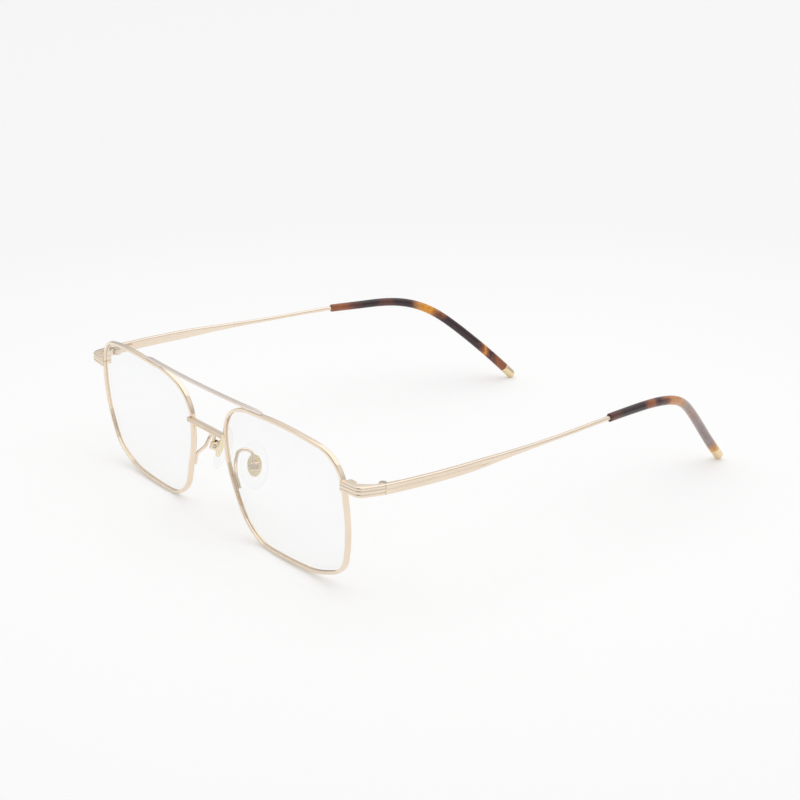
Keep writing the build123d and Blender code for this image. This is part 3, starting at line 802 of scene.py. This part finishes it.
def arm_path(place):
    """Bend points and radii of the left pad arm, from the eyewire's back to the pad's box."""
    radius = arm_wire_diameter / 2
    origin, level = joint_place("pad_left_rock")
    lean = math.radians(pad_lean)
    drop = np.array((0, 0, math.sin(lean)))
    noseward = np.array((level[1], -level[0], 0)) * math.cos(lean) - drop
    up = np.cross(noseward, level)
    foot = []
    for share in arm_foot_rise_shares:
        rise = rim_width / 2 + share * eye_height
        middle = on_lens_curve(np.array([(nose_side_across(rise), rise)]), 0)[0]
        back = np.array((0, rim_depth / 2 + radius + solder_gap, 0))
        foot.append(middle + front_turn() @ back + place)
    low, top = foot
    seat = radius - core_depth / 2 - pad_rock_gap - box_wall
    end = origin + level * arm_side_shift + up * (box_height / 2 + solder_gap) + noseward * seat
    crown = end + up * (arm_crown_rise - solder_gap)
    out_share, back_share, rise_share = arm_waist_shares
    waist_back = top[1] + back_share * (end[1] - top[1])
    waist = (end[0] - out_share * arm_spread, waist_back, end[2] + rise_share * arm_rise)
    bend = (end[0] - arm_spread, top[1] + arm_back_share * (end[1] - top[1]), end[2] + arm_rise)
    radii = [0, arm_foot_radius, arm_foot_radius, arm_crown_radius, arm_crown_radius, 0]
    return [low, top, waist, bend, crown, end], radii


def make_arms(place, finish):
    """Both pad arms as bent wire."""
    points, radii = arm_path(place)
    for side, sign in SIDES.items():
        carrier = bpy.data.meshes.new("arm path")
        line = [tuple(point) for point in mirrored(points, sign) * MM]
        carrier.from_pydata(line, [(index, index + 1) for index in range(len(line) - 1)], [])
        bends = carrier.attributes.new("bend", "FLOAT", "POINT")
        bends.data.foreach_set("value", [radius * MM for radius in radii])
        sizes = {"Diameter": arm_wire_diameter * MM, "Finish": finish}
        arm = grown("pad_arm_wire_" + side, carrier, forms["wire"], sizes)
        dress(arm, "front", finish, ["pad_arm_" + side])


def screw_seat(kind, side):
    """Place and turn of one screw's head seat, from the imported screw's box or the pad's joint."""
    sign = SIDES[side]
    if kind == "pad_screw":
        origin, level = joint_place("pad_left_rock")
        reach = screw_sizes[kind]["Shank length"] / 2 + solder_gap
        turn = Vector(mirrored(level, sign)).to_track_quat("Z", "Y").to_euler()
        return mirrored(origin + level * reach, sign), turn
    low, high = (np.array(corner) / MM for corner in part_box(kind + "_" + side))
    across, back = (low + high)[:2] / 2
    height = screw_sizes[kind]["Head height"]
    if kind == "hinge_screw":
        return (across, back, high[2] - height), (0, 0, slot_turns[kind] * sign)
    return (across, back, low[2] + height), (math.pi, 0, slot_turns[kind] * sign)


def make_screws(finish):
    """All slotted screws of a kind as one piece."""
    for kind, sizes in screw_sizes.items():
        seats, turns = zip(*[screw_seat(kind, side) for side in SIDES])
        carrier = bpy.data.meshes.new(kind + " seats")
        carrier.from_pydata([tuple(np.array(seat) * MM) for seat in seats], [], [])
        turned = carrier.attributes.new("turn", "FLOAT_VECTOR", "POINT")
        turned.data.foreach_set("vector", [value for turn in turns for value in turn])
        given = {**sizes, **slot_sizes, "Finish": finish}
        screws = grown(kind + "s", carrier, forms["screw"], given)
        dress(screws, "front", finish, [kind + "_" + side for side in SIDES])


def new_finish(name, **sockets):
    """A material whose shader has these plain values, with its tree and shader."""
    material = bpy.data.materials.new(name)
    material.use_nodes = True
    shader = material.node_tree.nodes["Principled BSDF"]
    for socket, value in sockets.items():
        shader.inputs[socket.replace("_", " ")].default_value = value
    return material, material.node_tree, shader


def pattern(tree, scale, shift=(0, 0, 0)):
    """Object coordinates stretched by a scale per metre."""
    place = tree.nodes.new("ShaderNodeTexCoord").outputs["Object"]
    values = {"Vector": place, "Scale": scale, "Location": shift}
    return output_of(tree, "ShaderNodeMapping", values)


def noise(tree, place, scale=1.0, **details):
    """A noise pattern's strength."""
    values = {"Vector": place, "Scale": scale, **details}
    return add(tree, "ShaderNodeTexNoise", values).outputs["Fac"]


def spread(tree, value, taken, given):
    """A value stretched from one range to another."""
    limits = {"From Min": taken[0], "From Max": taken[1], "To Min": given[0], "To Max": given[1]}
    return output_of(tree, "ShaderNodeMapRange", {"Value": value, **limits})


def scaled(tree, colour, share):
    """A colour made lighter or darker by a share."""
    values = {0: colour, "Scale": share}
    return output_of(tree, "ShaderNodeVectorMath", values, operation="SCALE")


def tinted(tree, shader, amount, first, second):
    """Colours the shader between two tones, by the mix node's sockets for colours."""
    tones = {0: amount, 6: (*first, 1), 7: (*second, 1)}
    mixed = add(tree, "ShaderNodeMix", tones, data_type="RGBA").outputs[2]
    tree.links.new(mixed, shader.inputs["Base Color"])


def plated(name, pale, deep, rough, grain, marks, bareness):
    """Plated metal: slow tone shifts, fine grain in its gloss, and fine marks as bump."""
    material, tree, shader = new_finish(name, Metallic=bareness)
    slow = noise(tree, pattern(tree, tone_scale), Detail=tone_detail)
    tinted(tree, shader, spread(tree, slow, tone_range, WHOLE), deep, pale)
    fine = noise(tree, pattern(tree, grain), Detail=grain_detail)
    tree.links.new(spread(tree, fine, grain_range, rough), shader.inputs["Roughness"])
    bump = {"Height": fine, "Strength": marks, "Distance": mark_depth}
    tree.links.new(output_of(tree, "ShaderNodeBump", bump), shader.inputs["Normal"])
    return material


def clear_lens():
    """Coated clear plastic that shows only as a faint sheen at a slant."""
    gloss = {"Roughness": lens_roughness, "IOR": lens_refraction}
    material, tree, shader = new_finish("coated clear lens", **gloss)
    tinted(tree, shader, noise(tree, pattern(tree, lens_tone_scale)), *lens_tones)
    sheen = output_of(tree, "ShaderNodeFresnel", {"IOR": sheen_refraction})
    tree.links.new(spread(tree, sheen, WHOLE, sheen_cover), shader.inputs["Alpha"])
    return material


def clear_silicone():
    """Clear satin silicone, stronger at its edges, with a soft surface."""
    gloss = {"Roughness": silicone_roughness, "IOR": silicone_refraction}
    material, tree, shader = new_finish("clear silicone", **gloss)
    tinted(tree, shader, noise(tree, pattern(tree, silicone_tone_scale)), *silicone_tones)
    edge = add(tree, "ShaderNodeLayerWeight", {"Blend": silicone_edge_blend}).outputs["Facing"]
    tree.links.new(spread(tree, edge, WHOLE, silicone_cover), shader.inputs["Alpha"])
    return material


def tortoiseshell(name, bands, seed):
    """Polished acetate whose dark and amber patches follow the tip's run, with soft torn edges; the left tip's
    grey-brown stretch is partly its tone and partly a painted sheen.
    """
    gloss = {"IOR": shell_refraction, "Coat_Weight": shell_coat}
    gloss["Coat_Roughness"] = shell_coat_roughness
    material, tree, shader = new_finish(name, **gloss)
    run = output_of(tree, "ShaderNodeUVMap", uv_map="run")
    run = add(tree, "ShaderNodeSeparateXYZ", {0: run}).outputs["X"]
    place = pattern(tree, (1, 1, 1), (seed, seed, 0))
    torn = noise(tree, place, tear_scale, Detail=tear_detail, Roughness=tear_roughness)
    torn = spread(tree, torn, tear_range, tear_reach)
    ramp = add(tree, "ShaderNodeValToRGB", {"Fac": sum_of(tree, "ADD", run, torn)})
    set_stops(ramp.color_ramp, [(share, shell_tones[tone]) for share, tone in bands])
    fleck = noise(tree, place, fleck_scale, Detail=fleck_detail, Distortion=fleck_distortion)
    shaded = scaled(tree, ramp.outputs[0], spread(tree, fleck, fleck_range, fleck_shades))
    tree.links.new(shaded, shader.inputs["Base Color"])
    tree.links.new(spread(tree, fleck, WHOLE, shell_rough), shader.inputs["Roughness"])
    return material


def set_stops(ramp, stops):
    """Fills a colour ramp with (place, colour) stops."""
    while len(ramp.elements) > 1:
        ramp.elements.remove(ramp.elements[-1])
    ramp.elements[0].position = stops[0][0]
    ramp.elements[0].color = (*stops[0][1], 1)
    for place, colour in stops[1:]:
        ramp.elements.new(place).color = (*colour, 1)


def make_floor():
    """Plain pale floor, lit a little from within, with a painted pool of light: its tone darkens slightly away
    from the middle.
    """
    mesh = bpy.data.meshes.new("studio floor")
    quarters = ((-1, -1), (1, -1), (1, 1), (-1, 1))
    corners = [(across * floor_reach, back * floor_reach, 0) for across, back in quarters]
    mesh.from_pydata(corners, [], [(0, 1, 2, 3)])
    look = {"Roughness": floor_roughness, "Specular_IOR_Level": floor_shine}
    look.update({"Emission_Color": (1, 1, 1, 1), "Emission_Strength": floor_glow})
    paint, tree, shader = new_finish("floor paint", **look)
    away = {0: pattern(tree, (1, 1, 1))}
    away = add(tree, "ShaderNodeVectorMath", away, operation="LENGTH").outputs["Value"]
    near, far = [(tone, tone, tone) for tone in floor_painted_light_tones]
    # Painted pool of light: the floor's paint is lighter near the middle and darker away from it
    tinted(tree, shader, spread(tree, away, painted_light_fall_reach, WHOLE), near, far)
    mesh.materials.append(paint)
    floor = bpy.data.objects.new("studio_floor", mesh)
    bpy.context.scene.collection.objects.link(floor)


def make_light():
    """A bright room that dims low down and high in front, and a soft lamp overhead."""
    world = bpy.context.scene.world or bpy.data.worlds.new("studio")
    bpy.context.scene.world = world
    world.use_nodes = True
    tree = world.node_tree
    ahead = tree.nodes.new("ShaderNodeTexCoord").outputs["Generated"]
    height = add(tree, "ShaderNodeSeparateXYZ", {0: ahead}).outputs["Z"]
    room = add(tree, "ShaderNodeValToRGB", {"Fac": height})
    set_stops(room.color_ramp, [(place, (tone, tone, tone)) for place, tone in room_tones])
    facing = {0: ahead, 1: dim_side}
    facing = add(tree, "ShaderNodeVectorMath", facing, operation="DOT_PRODUCT").outputs["Value"]
    dimmed = scaled(tree, room.outputs[0], spread(tree, facing, dim_side_range, dim_side_shares))
    back = tree.nodes["Background"]
    tree.links.new(dimmed, back.inputs["Color"])
    back.inputs["Strength"].default_value = room_strength
    lamp = bpy.data.lights.new("overhead softbox", "AREA")
    lamp.shape = "SQUARE"
    lamp.size = lamp_size
    lamp.energy = lamp_power
    softbox = bpy.data.objects.new("overhead softbox", lamp)
    softbox.location = lamp_place
    bpy.context.scene.collection.objects.link(softbox)
    bpy.context.scene.view_settings.view_transform = "Standard"


def make_camera(place):
    """The photograph's viewpoint, placed from the front's shift."""
    turn, rise, roll = (math.radians(angle) for angle in (photo_turn, photo_rise, photo_roll))
    level = Vector((math.cos(turn), math.sin(turn), 0))
    back = Vector((-math.sin(turn), math.cos(turn), 0))
    ahead = back * math.cos(rise) - Vector((0, 0, math.sin(rise)))
    upward = level.cross(ahead)
    right = level * math.cos(roll) + upward * math.sin(roll)
    top = upward * math.cos(roll) - level * math.sin(roll)
    eye = -right * photo_slide[0] - top * photo_slide[1] - ahead * photo_distance + Vector(place)
    camera = bpy.data.objects.new("camera", bpy.data.cameras.new("camera"))
    camera.data.sensor_width = sensor_width
    camera.data.lens = photo_focal_pixels / photo_pixels * sensor_width
    camera.data.clip_start = nearest_shown
    axes = Matrix((right, top, -ahead)).transposed()
    camera.matrix_world = Matrix.Translation(eye * MM) @ axes.to_4x4()
    bpy.context.scene.collection.objects.link(camera)
    bpy.context.scene.camera = camera


def sided(name, side):
    """A name with its side, where it has one."""
    return name + side if name.endswith("_") else name


hinge_place = joint_place("temple_left_fold")[0]
forms = {"screw": screw_tree(), "wire": wire_tree()}
finishes = {}
for slot, values in platings.items():
    finishes[slot] = plated(slot.replace("_", " ") + " plating", **values)
finishes["lens"] = clear_lens()
finishes["silicone"] = clear_silicone()
for side in SIDES:
    name = side + " tip tortoiseshell"
    finishes["tortoise_" + side] = tortoiseshell(name, shell_bands[side], shell_seeds[side])

outline = rounded_outline()
place = front_place(outline)
line = temple_line()
# Each drawn form: piece, mesh, body, slot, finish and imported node. A side ends its name.
drawn = [
    ("eyewire_", make_rim(place, outline), "front", "polished_gold", "polished_gold", "rim_"),
    ("clear_lens_", make_lens(place, outline), "front", "lens", "lens", "lens_"),
    ("temple_blade_", make_temple(line), "temple_", "gold", "gold", "temple_"),
    ("acetate_tip_", make_tip(line), "temple_", "tortoise", "tortoise_", "temple_tip_"),
    ("end_cap_", make_cap(line), "temple_", "gold", "cap_gold", "tip_end_cap_"),
]
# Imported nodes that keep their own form, by body. A side ends the names.
kept = {
    "front": ["endpiece_", "rim_lock_upper_", "rim_lock_lower_", "front_hinge_leaf_", "pad_box_"],
    "temple_": ["temple_hinge_leaf_"],
    "pad_": ["pad_core_", "nose_pad_"],
}
slot_of = {part["node"]: part["material_slot"] for part in frame["record"]["subparts"]}

for side, sign in SIDES.items():
    for name, (points, faces, *runs), body, slot, finish, node in drawn:
        piece = piece_from(name + side, mirrored(points, sign), faces, *runs)
        # Light passes the clear lenses
        piece.visible_shadow = slot != "lens"
        dress(piece, sided(body, side), finishes[sided(finish, side)], [node + side])
    for body, nodes in kept.items():
        for node in nodes:
            slot = slot_of[node + side]
            finish = finishes["polished_gold" if node == "pad_box_" else slot]
            dress(burnished(node + side), sided(body, side), finish, [node + side])
for node, finish in (("brow_bar", "brow_gold"), ("bridge_bar", "polished_gold")):
    dress(burnished(node), "front", finishes[finish], [node])
make_arms(place, finishes["gold"])
make_screws(finishes["screw_steel"])
make_floor()
make_light()
make_camera(place)
